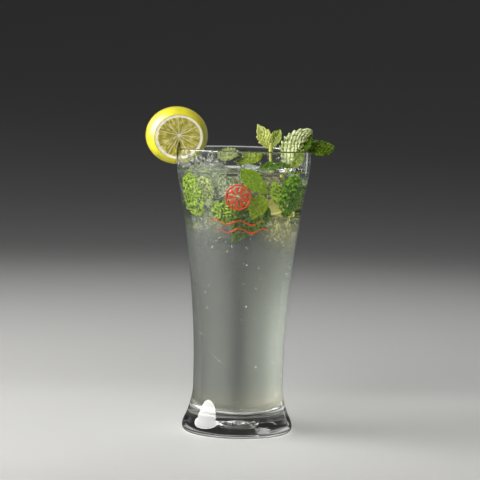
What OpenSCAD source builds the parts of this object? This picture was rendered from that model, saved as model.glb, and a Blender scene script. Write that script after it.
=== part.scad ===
// Mojito in a flared glass: a heavy-footed tumbler, the drink, floating ice,
// a thick slice of lime on the rim and sprigs of mint. Millimetres, +Z up.
// The origin is the centre of the circle that the glass stands on.

/* [Glass] */
// Height of the glass
glass_h = 177; // [150:1:215]
// Outer radius of the straight lip
lip_r = 41.7; // [36:0.1:50]
// Outer radius of the waist above the foot
waist_r = 28.1; // [24:0.1:33]
// Outer radius of the foot
foot_r = 34.5; // [29:0.1:41]
// Wall thickness of the body at the waist
body_wall = 2.6; // [1.8:0.1:3.4]
// Wall thickness at the lip
lip_wall = 1.9; // [1.4:0.1:2.6]
// Thickness of the solid glass under the drink
base_t = 12.5; // [9:0.5:18]
// Height of the straight band under the lip
lip_band = 12; // [8:0.5:16]

/* [Drink] */
// How far the drink stands below the top of the lip
level_drop = 13.5; // [10:0.5:30]

/* [Lime slice] */
// Radius of the lime, up and down
lime_r = 17.9; // [14:0.1:22]
// Radius of the lime along the lip's outward line
lime_wide = 19.4; // [15:0.1:24]
// Thickness of the slice
lime_t = 15; // [10:0.5:20]
// Distance from the lime's widest plane to the front cut
lime_front = 11.5; // [8:0.5:14]
// Height of the slice's centre above the lip
lime_up = 6.8; // [5:0.1:9]
// Width of the slit that shows above the lip
slit_w = 1.3; // [0.8:0.1:2]

/* [Ice] */
// Edge of an ice cube
ice_edge = 21; // [16:0.5:24]
// Height that the ice stands out of the drink
ice_up = 4.5; // [3:0.5:6]

/* [Mint] */
// Length of the large crinkled leaf
crown_len = 29; // [22:0.5:34]
// Length of the leaf that lies over the lip
over_len = 18; // [14:0.5:24]
// Length of the longer young leaf
young_len = 17.5; // [13:0.5:22]
// Radius of the sprigs' stems
stem_r = 1; // [0.7:0.1:1.4]
// Thickness of a leaf
leaf_t = 0.8; // [0.6:0.1:1.2]

/* [Hidden] */
round_fn = 96;
clearance = 0.1;

// Glass outline
flare_z = 40;
flare_power = 1.78;
neck_top = 27;
neck_low = 11;
neck_out = 3.7;
neck_power = 1.6;
foot_side_z = 3;
foot_side_h = 8.5;
foot_side_in = 3.3;
foot_side_power = 1.9;
shoulder_soft = 0.7;
rest_ring = 5.5;
under_rise = 1.4;
mark_r = 9.5;
mark_h = 0.6;
floor_fillet = 8;
shoulder_z = glass_h - lip_band;
level = glass_h - level_drop;
lip_mid = lip_r - lip_wall / 2;
lime_at = [-lip_mid - 0.8, 0, glass_h + lime_up];
lime_turn = [4.2, 0, 8.4];

// Tops of the sprigs' stems: the crown sprig leans on the lip
young_top = [16.6, 4, glass_h + 1.5];
crown_top = [lip_r - 14.7, -2, glass_h - 10.5];

// Middles of the ice, as seen from above: a direction, and a share of the inside at the cubes' lower face
ice_low_z = level + ice_up - ice_edge - 2;
function ice_at(way, share) = share * inner_r(ice_low_z) * [cos(way), sin(way)];
ice_left_at = ice_at(167, 0.55);
ice_back_at = ice_at(69, 0.592);

// A smooth lesser of two lengths, with a soft corner of width k
function soft_min(a, b, k) = (a + b - sqrt((a - b) * (a - b) + k * k)) / 2;

// Outer radius of the body from the waist to the lip
function flare_r(z) =
    soft_min(waist_r + (lip_r - waist_r) * pow(max(0, z - flare_z) / (shoulder_z - flare_z), flare_power),
        lip_r, shoulder_soft);

// Outer radius below the waist: the neck spreads into the foot's rounded side
function neck_r(z) = waist_r + neck_out * pow(max(0, neck_top - z) / (neck_top - neck_low), neck_power);
function foot_side_r(z) = foot_r - foot_side_in * pow(max(0, z - foot_side_z) / foot_side_h, foot_side_power);
function outer_r(z) =
    z >= neck_top ? flare_r(z) : z >= neck_low ? neck_r(z) : max(foot_side_r(z), foot_r - 3 * foot_side_in);

// Wall thickness thins from the waist to the lip
function wall_at(z) = body_wall + (lip_wall - body_wall) * max(0, min(1, (z - flare_z) / (shoulder_z - flare_z)));
function inner_r(z) = flare_r(max(z, flare_z)) - wall_at(z);

// Heights at which the body's outline has points
body_zs = concat([for (i = [0:5]) neck_low + (neck_top - neck_low) * i / 6], [neck_top],
    [for (i = [1:26]) neck_top + (glass_h - lip_wall / 2 - neck_top) * i / 26]);

function arc_points(c, r, from, to, n) =
    [for (i = [0:n]) let (a = from + (to - from) * i / n) [c[0] + r * cos(a), c[1] + r * sin(a)]];

outer_points = concat(
    [for (i = [0:5]) let (a = 90 * i / 6)
        [foot_r - foot_side_z + foot_side_z * sin(a), foot_side_z * (1 - cos(a))]],
    [for (i = [0:5]) let (z = foot_side_z + (neck_low - foot_side_z) * i / 6) [foot_side_r(z), z]],
    [for (z = body_zs) [outer_r(z), z]]);
lip_points = arc_points([lip_mid, glass_h - lip_wall / 2], lip_wall / 2, 15, 165, 8);

// The cavity's outline from the lip down to the middle of its floor
lip_z = glass_h - lip_wall / 2;
cavity_points = concat(
    [for (i = [0:26]) let (z = lip_z + (base_t + floor_fillet - lip_z) * i / 26) [inner_r(z), z]],
    [for (i = [1:8]) let (a = 90 * i / 8)
        [inner_r(base_t) - floor_fillet * (1 - cos(a)), base_t + floor_fillet * (1 - sin(a))]],
    [[0, base_t]]);

// The underside: a flat ring to stand on, a shallow hollow and a round moulded mark
module underside() {
    ring_in = foot_r - foot_side_z - rest_ring;
    rotate_extrude($fn = round_fn)
        polygon(concat([[0, -1], [ring_in, -1]],
            [for (i = [0:8]) let (a = 90 * i / 8) [ring_in * cos(a), under_rise * sin(a)]]));
    rotate_extrude($fn = round_fn)
        translate([mark_r - 1, 0]) square([1.2, under_rise + mark_h]);
}

module glass() {
    color([0.85, 0.9, 0.9, 0.35])
    difference() {
        rotate_extrude($fn = round_fn)
            polygon(concat([[0, 0]], outer_points, lip_points, cavity_points));
        underside();
    }
}

module drink() {
    color([0.55, 0.58, 0.53, 0.8])
    difference() {
        rotate_extrude($fn = round_fn)
            polygon(concat([[0, lip_z]], cavity_points));
        translate([0, 0, level]) cylinder(r = lip_r + 1, h = glass_h, $fn = round_fn);
        ice_shape(ice_left_at, [8, -6, 24]);
        ice_shape(ice_back_at, [-7, 9, -12]);
        young_stem();
        crown_stem();
    }
}

// Ice: a cube with soft worn edges, turned by a few degrees, part above the drink
module ice_shape(at, turn) {
    round = 2.4;
    inner = ice_edge - 2 * round;
    translate([at[0], at[1], level + ice_up - ice_edge / 2 - 2])
        rotate(turn)
        hull()
            for (x = [-1, 1], y = [-1, 1], z = [-1, 1])
                translate([x, y, z] * inner / 2) sphere(r = round, $fn = 16);
}

module ice_left() {
    color([0.85, 0.9, 0.9, 0.5]) ice_shape(ice_left_at, [8, -6, 24]);
}

module ice_back() {
    color([0.85, 0.9, 0.9, 0.5]) ice_shape(ice_back_at, [-7, 9, -12]);
}

// Lime: a thick slice that takes in the fruit's widest plane, so the rind bulges behind the front cut
module lime_slice() {
    axial_r = lime_r * 1.04;
    color([0.85, 0.83, 0.3])
    difference() {
        translate(lime_at) rotate(lime_turn) scale([lime_wide / lime_r, 1, 1]) rotate([90, 0, 0])
            translate([0, 0, lime_t / 2 - lime_front])
            rotate_extrude($fn = round_fn)
                polygon(concat([[0, lime_front - lime_t]],
                    [for (i = [0:16]) let (a = lime_front - lime_t + lime_t * i / 16)
                        [lime_r * sqrt(1 - pow(a / axial_r, 2)), a]],
                    [[0, lime_front]]));
        rim_slot();
    }
}

// The slit in the slice: it holds the lip, and tapers to an end near the middle of the fruit
module rim_slot() {
    slit_top = glass_h + lime_up - 1.7;
    difference() {
        translate([0, 0, glass_h - 40]) cylinder(r = lip_r + clearance, h = 40 + clearance, $fn = round_fn);
        translate([0, 0, glass_h - 41]) cylinder(r = inner_r(glass_h + lime_up - lime_r) - clearance, h = 42, $fn = round_fn);
    }
    translate([-lip_mid, 20, 0]) rotate([90, 0, 0])
        linear_extrude(height = 40)
            polygon([[-slit_w / 2, glass_h - 1], [slit_w / 2, glass_h - 1],
                [slit_w / 2, slit_top - 3], [0.15, slit_top], [-0.15, slit_top], [-slit_w / 2, slit_top - 3]]);
}

// A mint leaf as a closed sheet. It runs along +X from its stalk and faces +Z, with a folded midrib,
// ridges between its side veins, a toothed edge, and a bend towards +Z over its length. A high
// belly sets its widest part nearer the tip.
module leaf(len, wid, fold, bend, ridge = 0.5, belly = 0.8, ni = 18, nj = 8) {
    teeth = 7;
    function half(u) = max(0.35, wid / 2 * pow(sin(180 * pow(u, belly)), 0.9)
        * (1 + 0.07 * (teeth * u - floor(teeth * u))));
    function along(u) = abs(bend) < 1 ? [len * u, 0]
        : let (r = len / bend * 180 / PI) [r * sin(bend * u), r * (1 - cos(bend * u))];
    function sheet(i, j, side) =
        let (u = i / ni, v = 2 * j / nj - 1, w = half(u) * v, m = along(u),
            up = abs(w) * tan(fold) + ridge * sin(360 * (6.5 * u + 0.9 * abs(v))) * (1 - 0.3 * abs(v))
                * sin(180 * u) + side * leaf_t / 2)
        [m[0] - up * sin(bend * u), w, m[1] + up * cos(bend * u)];
    cols = nj + 1;
    count = (ni + 1) * cols;
    points = [for (side = [1, -1], i = [0:ni], j = [0:nj]) sheet(i, j, side)];
    // Corner k of the quad at (i, j), on the upper sheet or, count later, on the lower
    function quad(i, j) = [i * cols + j, (i + 1) * cols + j, (i + 1) * cols + j + 1, i * cols + j + 1];
    upper = [for (i = [0:ni - 1], j = [0:nj - 1]) let (q = quad(i, j)) each [[q[0], q[2], q[1]], [q[0], q[3], q[2]]]];
    lower = [for (f = upper) [for (k = [2, 1, 0]) f[k] + count]];
    rim = concat([for (j = [0:nj]) j], [for (i = [1:ni]) i * cols + nj],
        [for (j = [nj - 1:-1:0]) ni * cols + j], [for (i = [ni - 1:-1:1]) i * cols]);
    n = 2 * (ni + nj);
    wall = [for (k = [0:n - 1]) let (a = rim[k], b = rim[(k + 1) % n]) each [[a, b, b + count], [a, b + count, a + count]]];
    polyhedron(points = points, faces = concat(upper, lower, [for (f = wall) [f[2], f[1], f[0]]]), convexity = 6);
}

// A round stem along a list of points, with 8 sides and flat ends
module stem(path, r) {
    sides = 8;
    n = len(path);
    function aim(i) = let (d = path[min(n - 1, i + 1)] - path[max(0, i - 1)]) d / norm(d);
    function ring(i) = let (d = aim(i), a = cross(d, [0, 1, 0.01]), s = a / norm(a), t = cross(d, s))
        [for (k = [0:sides - 1]) path[i] + r * (s * cos(360 * k / sides) + t * sin(360 * k / sides))];
    points = [for (i = [0:n - 1]) each ring(i)];
    skin = [for (i = [0:n - 2], k = [0:sides - 1]) let (a = i * sides + k, b = i * sides + (k + 1) % sides)
        each [[a, b + sides, b], [a, a + sides, b + sides]]];
    polyhedron(points = points, faces = concat(skin, [[for (k = [0:sides - 1]) k]],
        [[for (k = [sides - 1:-1:0]) (n - 1) * sides + k]]), convexity = 4);
}

// Sets a leaf's stalk at a point; it runs at angle rise above the +X line, turned by yaw, rolled about itself
module set_leaf(at, rise, roll, yaw = 0) {
    translate(at) rotate([0, 0, yaw]) rotate([0, -rise, 0]) rotate([roll, 0, 0]) children();
}

// Young sprig: two small pale leaves that spread in a V at the end of a stem
young_path = [for (i = [0:5]) let (t = i / 5) young_top + [5 * t * t, 2 * t, -36 * t]];

module young_stem() {
    stem(young_path, stem_r);
}

module mint_sprig_young() {
    color([0.76, 0.84, 0.41])
    union() {
        young_stem();
        set_leaf(young_top - [0, 0, 2], 118, 100) leaf(young_len, young_len * 0.5, 16, -10, 0.3, 1.25);
        set_leaf(young_top - [0, 0, 2], 70, 60, 10)
            leaf(young_len * 0.85, young_len * 0.46, 30, -14, 0.3, 1.3);
    }
}

// Crown sprig: a large crinkled leaf that leans on the lip, and a darker one laid over the lip
crown_path = [for (i = [0:5]) let (t = i / 5) crown_top + [-4 * t * t, -2 * t, -32 * t]];
over_at = crown_top + [11.2, 4.5, 13.6];
over_path = [for (i = [0:4]) let (t = i / 4)
    crown_top - [0, 0, 1.5] + (over_at - crown_top + [1, 0, 1.5]) * t + [2.5, 0, -1.5] * sin(180 * t) * 0.4];

module crown_stem() {
    stem(crown_path, stem_r);
}

module mint_sprig_crown() {
    color([0.35, 0.5, 0.12])
    union() {
        crown_stem();
        stem(over_path, stem_r * 0.8);
        set_leaf(crown_top - [0, 0, 1.6], 63, 118)
            leaf(crown_len, crown_len * 0.54, -37, 12, 0.9, 1.1, 20, 10);
        set_leaf(over_at, -3, 58, -4) leaf(over_len, over_len * 0.47, -16, -8, 0.4, 1.15);
    }
}

// Leaves that lie on the ice and the drink inside the lip
module mint_leaf_bright() {
    color([0.55, 0.68, 0.1])
        set_leaf([11.5, ice_back_at[1] - 9.9, level + 10], 197, -40) leaf(17, 9, 12, 10, 0.4);
}

module mint_leaf_dark() {
    color([0.22, 0.4, 0.08])
        set_leaf([9.5, -14, level + 2.2], 0, 22) leaf(19, 10, 12, 8, 0.5);
}

module mint_leaf_pale() {
    color([0.66, 0.74, 0.44])
        set_leaf([-17, 7, level + 8], 4, 38) leaf(16, 11, 10, 14, 0.7);
}

glass();
drink();
lime_slice();
ice_left();
ice_back();
mint_sprig_young();
mint_sprig_crown();
mint_leaf_bright();
mint_leaf_dark();
mint_leaf_pale();
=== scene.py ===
"""Looks of a mojito: the glass, the cloudy drink, the ice, the lime and the mint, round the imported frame."""

import math

import bpy
import bmesh
import numpy as np
from bpy.props import FloatProperty, FloatVectorProperty, IntProperty, PointerProperty
from bpy.types import Operator, Panel, PropertyGroup
from mathutils import Matrix, Vector


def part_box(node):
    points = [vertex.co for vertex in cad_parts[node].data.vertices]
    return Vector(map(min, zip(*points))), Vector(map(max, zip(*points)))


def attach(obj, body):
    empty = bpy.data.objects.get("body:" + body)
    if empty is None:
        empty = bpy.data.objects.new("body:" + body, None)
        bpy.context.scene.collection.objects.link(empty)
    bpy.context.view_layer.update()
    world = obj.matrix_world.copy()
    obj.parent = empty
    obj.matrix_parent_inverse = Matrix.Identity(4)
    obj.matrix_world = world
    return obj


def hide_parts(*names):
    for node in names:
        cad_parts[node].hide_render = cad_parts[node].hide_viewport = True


bl_info = {
    "name": "Mojito",
    "version": (1, 0, 0),
    "blender": (4, 5, 0),
    "location": "View3D > Sidebar > Mojito",
    "description": "Glass, drink, ice, lime and mint of a mojito, worked out from a few sizes",
    "category": "Add Mesh",
}

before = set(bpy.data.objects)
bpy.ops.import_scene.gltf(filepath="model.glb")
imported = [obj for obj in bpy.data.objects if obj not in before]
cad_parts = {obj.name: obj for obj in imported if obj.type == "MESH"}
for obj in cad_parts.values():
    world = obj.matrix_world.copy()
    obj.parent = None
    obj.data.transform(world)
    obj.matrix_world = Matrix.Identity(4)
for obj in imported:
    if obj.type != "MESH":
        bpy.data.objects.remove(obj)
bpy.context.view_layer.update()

BODY = "root"
SEED = 7
GLASS_LOW, GLASS_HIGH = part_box("glass")
DRINK_LOW, DRINK_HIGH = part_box("drink")
GLASS_HEIGHT = GLASS_HIGH[2] - GLASS_LOW[2]
LIP_RADIUS = (GLASS_HIGH[0] - GLASS_LOW[0]) / 2
LEVEL = DRINK_HIGH[2]
FLOOR_OF_DRINK = DRINK_LOW[2]


# ---------------------------------------------------------------- sizes and colours

class GlassSettings(PropertyGroup):
    """Sizes of the flared glass."""

    height: FloatProperty(name="Height", description="Height of the glass",
                          default=GLASS_HEIGHT, unit="LENGTH")
    lip: FloatProperty(name="Lip radius", description="Outer radius of the straight lip",
                       default=LIP_RADIUS, unit="LENGTH")
    waist: FloatProperty(name="Waist radius", description="Outer radius above the foot",
                         default=0.0281, unit="LENGTH")
    foot: FloatProperty(name="Foot radius", description="Outer radius of the foot",
                        default=0.0345, unit="LENGTH")
    body_wall: FloatProperty(name="Wall", description="Wall thickness at the waist",
                             default=0.0026, unit="LENGTH")
    lip_wall: FloatProperty(name="Lip wall", description="Wall thickness at the lip",
                            default=0.0019, unit="LENGTH")
    base: FloatProperty(name="Base", description="Solid glass under the drink",
                        default=FLOOR_OF_DRINK, unit="LENGTH")
    segments: IntProperty(name="Segments", description="Facets round the glass", default=192)
    ink: FloatVectorProperty(name="Ink", description="Colour of the printed slice",
                             default=(0.62, 0.06, 0.012), subtype="COLOR")


class DrinkSettings(PropertyGroup):
    """Level and cloudiness of the drink."""

    level: FloatProperty(name="Level", description="Height of the drink's surface",
                         default=LEVEL, unit="LENGTH")
    cloud_top: FloatProperty(name="Cloud top", description="Height where the cloudy part thins out",
                             default=0.122, unit="LENGTH")
    cloud_blend: FloatProperty(name="Cloud blend", description="Height over which it thins",
                               default=0.016, unit="LENGTH")
    cloud: FloatVectorProperty(name="Cloud", description="Colour of the cloudy drink",
                               default=(0.144, 0.150, 0.142), subtype="COLOR")
    murk: FloatVectorProperty(name="Murk", description="Colour of the crushed lime and mint above it",
                              default=(0.28, 0.29, 0.085), subtype="COLOR")
    bubbles: IntProperty(name="Bubbles", description="Small bubbles near the wall", default=520)


class LimeSettings(PropertyGroup):
    """Sizes and colours of the lime."""

    radius: FloatProperty(name="Radius", description="Radius of the fruit, up and down",
                          default=0.0179, unit="LENGTH")
    wide: FloatProperty(name="Half width", description="Radius of the fruit sideways",
                        default=0.0194, unit="LENGTH")
    thickness: FloatProperty(name="Thickness", description="Thickness of the slice",
                             default=0.015, unit="LENGTH")
    front: FloatProperty(name="Front", description="From the fruit's widest plane to the front cut",
                         default=0.0115, unit="LENGTH")
    up: FloatProperty(name="Up", description="Height of the slice's centre over the lip",
                      default=0.0068, unit="LENGTH")
    sections: IntProperty(name="Sections", description="Juice sections round the core", default=11)


class MintSettings(PropertyGroup):
    """Sizes of the mint leaves."""

    crown: FloatProperty(name="Crown leaf", description="Length of the large crinkled leaf",
                         default=0.029, unit="LENGTH")
    over: FloatProperty(name="Leaf over the lip", description="Length of the leaf over the lip",
                        default=0.018, unit="LENGTH")
    young: FloatProperty(name="Young leaf", description="Length of the longer young leaf",
                         default=0.0175, unit="LENGTH")
    stem: FloatProperty(name="Stem radius", description="Radius of the stems",
                        default=0.001, unit="LENGTH")
    thickness: FloatProperty(name="Leaf thickness", description="Thickness of a leaf",
                             default=0.0004, unit="LENGTH")


class StageSettings(PropertyGroup):
    """Camera and studio."""

    distance: FloatProperty(name="Distance", description="From the camera to the glass",
                            default=1.25, unit="LENGTH")
    height: FloatProperty(name="Camera height", description="Height of the camera",
                          default=0.2275, unit="LENGTH")
    pitch: FloatProperty(name="Pitch", description="Angle that the camera looks down",
                         default=math.radians(4.92), subtype="ANGLE")
    roll: FloatProperty(name="Roll", description="Roll of the camera",
                        default=math.radians(1.5), subtype="ANGLE")
    lens: FloatProperty(name="Lens", description="Focal length in millimetres", default=150.75)


# ---------------------------------------------------------------- meshes

def grid_faces(rows, cols, wrap_rows=False, wrap_cols=False, offset=0):
    """Quads between neighbours of a rows by cols grid of vertices, closed round where asked."""
    i = np.arange(rows if wrap_rows else rows - 1)
    j = np.arange(cols if wrap_cols else cols - 1)
    i, j = np.meshgrid(i, j, indexing="ij")
    i2, j2 = (i + 1) % rows, (j + 1) % cols
    quads = np.stack([i * cols + j, i2 * cols + j, i2 * cols + j2, i * cols + j2], -1)
    return quads.reshape(-1, 4) + offset


def bare_mesh(name, points, quads, values=None):
    """A smooth mesh from vertex and quad arrays, with named values at its vertices."""
    mesh = bpy.data.meshes.new(name)
    mesh.from_pydata(points.reshape(-1, 3), [], quads)
    for key, array in (values or {}).items():
        layer = mesh.attributes.new(key, "FLOAT", "POINT")
        layer.data.foreach_set("value", np.ascontiguousarray(array, np.float32).ravel())
    mesh.polygons.foreach_set("use_smooth", np.ones(len(mesh.polygons), bool))
    mesh.update()
    return mesh


def make_mesh(name, points, quads, values=None, kinds=None, weld=1e-6):
    """A closed mesh, with its doubles merged and its normals turned outwards.

    kinds gives the material of each face."""
    mesh = bare_mesh(name, points, quads, values)
    if kinds is not None:
        mesh.polygons.foreach_set("material_index", np.ascontiguousarray(kinds, np.int32))
    work = bmesh.new()
    work.from_mesh(mesh)
    bmesh.ops.remove_doubles(work, verts=work.verts, dist=weld)
    bmesh.ops.recalc_face_normals(work, faces=work.faces)
    work.to_mesh(mesh)
    work.free()
    mesh.update()
    return mesh


def add_piece(name, mesh, materials, nodes=()):
    """Puts a mesh in the scene as a piece that rides on the one body and stands for the CAD nodes."""
    piece = bpy.data.objects.new(name, mesh)
    bpy.context.scene.collection.objects.link(piece)
    for material in materials:
        mesh.materials.append(material)
    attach(piece, BODY)
    if nodes:
        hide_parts(*nodes)
    return piece


def revolve(profile, segments):
    """Vertices and quads of a profile of (radius, height) pairs carried round the Z axis."""
    angle = np.linspace(0, 2 * np.pi, segments, endpoint=False)
    radius, height = profile[:, 0], profile[:, 1]
    points = np.stack([radius[:, None] * np.cos(angle), radius[:, None] * np.sin(angle),
                       np.repeat(height[:, None], segments, 1)], -1)
    return points, grid_faces(len(profile), segments, wrap_cols=True)


def turn_matrix(x=0.0, y=0.0, z=0.0):
    """Rotation by x, then y, then z degrees about the fixed axes, as a 3 by 3 array."""
    rx, ry, rz = np.radians([x, y, z])
    cx, sx, cy, sy, cz, sz = np.cos(rx), np.sin(rx), np.cos(ry), np.sin(ry), np.cos(rz), np.sin(rz)
    mx = np.array([[1, 0, 0], [0, cx, -sx], [0, sx, cx]])
    my = np.array([[cy, 0, sy], [0, 1, 0], [-sy, 0, cy]])
    mz = np.array([[cz, -sz, 0], [sz, cz, 0], [0, 0, 1]])
    return mz @ my @ mx


def waves(points, scale, seed, terms=7):
    """Smooth noise: the mean of a few sine waves in random directions, about -1 to 1."""
    rng = np.random.default_rng(seed)
    total = np.zeros(points.shape[:-1])
    for _ in range(terms):
        way = rng.normal(size=3)
        way *= rng.uniform(0.6, 1.6) / np.linalg.norm(way)
        total = total + np.sin((points @ way) * scale + rng.uniform(0, 2 * np.pi))
    return total / math.sqrt(terms)


def tube(path, radius, sides=12, ribs=0.08):
    """A stem: a ring with four soft ribs carried along a path, with its ends drawn to a point."""
    path = np.asarray(path, float)
    way = np.gradient(path, axis=0)
    way /= np.linalg.norm(way, axis=1, keepdims=True)
    side = np.cross(way, np.array([0.02, 1.0, 0.03]))
    side /= np.linalg.norm(side, axis=1, keepdims=True)
    up = np.cross(way, side)
    angle = np.linspace(0, 2 * np.pi, sides, endpoint=False)
    ring = 1 + ribs * np.cos(4 * angle)
    taper = np.ones(len(path))
    taper[0] = taper[-1] = 1e-4
    reach = (radius * taper)[:, None, None] * ring[None, :, None]
    points = path[:, None] + reach * (np.cos(angle)[None, :, None] * side[:, None]
                                      + np.sin(angle)[None, :, None] * up[:, None])
    return points, grid_faces(len(path), sides, wrap_cols=True)


def join_grids(parts):
    """Stacks several (points, quads) pairs into one pair."""
    points, quads, base = [], [], 0
    for some, faces in parts:
        flat = some.reshape(-1, 3)
        points.append(flat)
        quads.append(faces + base)
        base += len(flat)
    return np.concatenate(points), np.concatenate(quads)


# ---------------------------------------------------------------- the glass's outline

# Heights, radii and powers of the flare, the neck, the foot, the lip, the inside's floor and the underside.
FLARE_FROM = 0.040
FLARE_POWER = 1.78
NECK_TOP = 0.027
NECK_LOW = 0.011
NECK_OUT = 0.0037
NECK_POWER = 1.6
FOOT_EDGE = 0.003
FOOT_SIDE = 0.0085
FOOT_IN = 0.0033
FOOT_POWER = 1.9
LIP_BAND = 0.012
SHOULDER_SOFT = 0.0007
FLOOR_FILLET = 0.008
REST_RING = 0.0055
UNDER_RISE = 0.0014
MARK_RADIUS = 0.0095
MARK_HALF = 0.0007
MARK_DEPTH = 0.0006


def flare_radius(z, s):
    """Waist radius plus a power of the height above the waist, softly limited to the lip radius."""
    top = s.height - LIP_BAND
    rise = np.clip((z - FLARE_FROM) / (top - FLARE_FROM), 0, None) ** FLARE_POWER
    flare = s.waist + (s.lip - s.waist) * rise
    return (flare + s.lip - np.sqrt((flare - s.lip) ** 2 + SHOULDER_SOFT ** 2)) / 2


def outer_radius(z, s):
    """The body above the neck, the spreading neck, then the foot's rounded side."""
    z = np.asarray(z, float)
    neck = s.waist + NECK_OUT * (np.clip(NECK_TOP - z, 0, None) / (NECK_TOP - NECK_LOW)) ** NECK_POWER
    side = s.foot - FOOT_IN * (np.clip(z - FOOT_EDGE, 0, None) / FOOT_SIDE) ** FOOT_POWER
    return np.where(z >= NECK_TOP, flare_radius(z, s), np.where(z >= NECK_LOW, neck, side))


def inner_radius(z, s):
    """The flare less a wall that thins from the waist to the lip."""
    z = np.maximum(np.asarray(z, float), FLARE_FROM)
    share = np.clip((z - FLARE_FROM) / (s.height - LIP_BAND - FLARE_FROM), 0, 1)
    return flare_radius(z, s) - (s.body_wall + (s.lip_wall - s.body_wall) * share)


def cavity_profile(s, top, grow=0.0, rows=60):
    """Inside of the glass from height top to the middle of its floor, moved into the glass by grow."""
    z = np.linspace(top, s.base + FLOOR_FILLET, rows)
    wall = np.stack([inner_radius(z, s) + grow, z], 1)
    angle = np.linspace(0, np.pi / 2, 16)[1:]
    corner = inner_radius(s.base, s) - FLOOR_FILLET
    bend = np.stack([corner + (FLOOR_FILLET + grow) * np.cos(angle),
                     s.base + FLOOR_FILLET - (FLOOR_FILLET + grow) * np.sin(angle)], 1)
    flat = np.stack([np.linspace(corner, 0, 8)[1:], np.full(7, s.base - grow)], 1)
    return np.concatenate([wall, bend, flat])


def glass_profile(s):
    """The whole section: underside, foot, body, round lip, then the inside down to its floor."""
    ring_in = s.foot - FOOT_EDGE - REST_RING
    reach = np.concatenate([np.linspace(0, 0.0085, 24), np.linspace(0.0086, 0.0106, 18),
                            np.linspace(0.011, ring_in, 14)])
    dome = UNDER_RISE * np.sqrt(np.clip(1 - (reach / ring_in) ** 2, 0, 1))
    mark = MARK_DEPTH * np.clip((MARK_HALF - np.abs(reach - MARK_RADIUS)) / 0.0003, 0, 1)
    under = np.stack([reach, dome + mark], 1)
    edge = np.linspace(0, np.pi / 2, 9)
    foot = np.stack([s.foot - FOOT_EDGE + FOOT_EDGE * np.sin(edge), FOOT_EDGE * (1 - np.cos(edge))], 1)
    z = np.concatenate([np.linspace(FOOT_EDGE, NECK_TOP, 40)[1:],
                        np.linspace(NECK_TOP, s.height - s.lip_wall / 2, 90)[1:]])
    body = np.stack([outer_radius(z, s), z], 1)
    bend = np.linspace(0, np.pi, 14)[1:-1]
    middle = s.lip - s.lip_wall / 2
    lip = np.stack([middle + s.lip_wall / 2 * np.cos(bend),
                    s.height - s.lip_wall / 2 + s.lip_wall / 2 * np.sin(bend)], 1)
    inside = cavity_profile(s, s.height - s.lip_wall / 2, rows=90)
    return np.concatenate([under, foot, body, lip, inside])


# ---------------------------------------------------------------- the print and the lime's slit

PRINT_ACROSS = -0.0028
PRINT_UP = 0.1490
PRINT_RADIUS = 0.0080
PRINT_SECTIONS = 9
INK_FRONT = 0.00012
INK_BACK = -0.00002
SLIT_WIDTH = 0.0024

# Each printed wave: its height, its left and right ends, and its phase.
PRINT_WAVES = ((0.1335, -0.021, 0.0135, 0.0), (0.1285, -0.0165, 0.0165, 1.4))

# ---------------------------------------------------------------- places and finishes in the drink

# The drink's rise at the wall and how far it reaches into it, the dew's band and the lees, by height.
EDGE_RISE = 0.0009
EDGE_REACH = 0.0011
INTO_WALL = 0.00018
DEW_STARTS = (0.163, 0.166)
DEW_ENDS = (0.176, 0.171)
LEES = (0.036, 0.014)

# Half the side of the cubes that stand out of the drink, then each sunk cube's place and half side.
ICE_HALF = 0.0105
SUNK_ICE = (("ice_low_right", (0.012, 0.004, 0.139), 0.0095),
            ("ice_low_left", (-0.011, -0.006, 0.134), 0.0092),
            ("ice_front", (-0.0115, -0.0195, 0.1530), 0.0078))
ICE_TURNS = ((8, -6, 24), (-7, 9, -12), (21, 30, 10), (-18, 14, 52), (25, 18, 35))

# Each veil of the cloud: its share of the inside radius, how thick it is above the cloud's top, and below.
VEILS = ((0.985, 0.0, 0.45), (0.90, 0.0, 0.6), (0.68, 0.55, 0.8), (0.5, 0.8, 0.9), (0.3, 1.0, 1.0))

# Each sunk piece of lime: place, turns, first and last angle, thickness and size against the whole fruit.
SUNK_LIME = (("lime_wedge_tall", (0.0165, -0.0200, 0.1492), (0, 60, 18), 10, 130, 0.006, 0.62),
             ("lime_wedge_low", (0.0195, -0.0150, 0.1375), (6, -12, 26), 75, 235, 0.008, 0.60),
             ("lime_wedge_back", (-0.014, 0.012, 0.140), (20, 40, -30), 10, 170, 0.005, 0.78))

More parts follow.
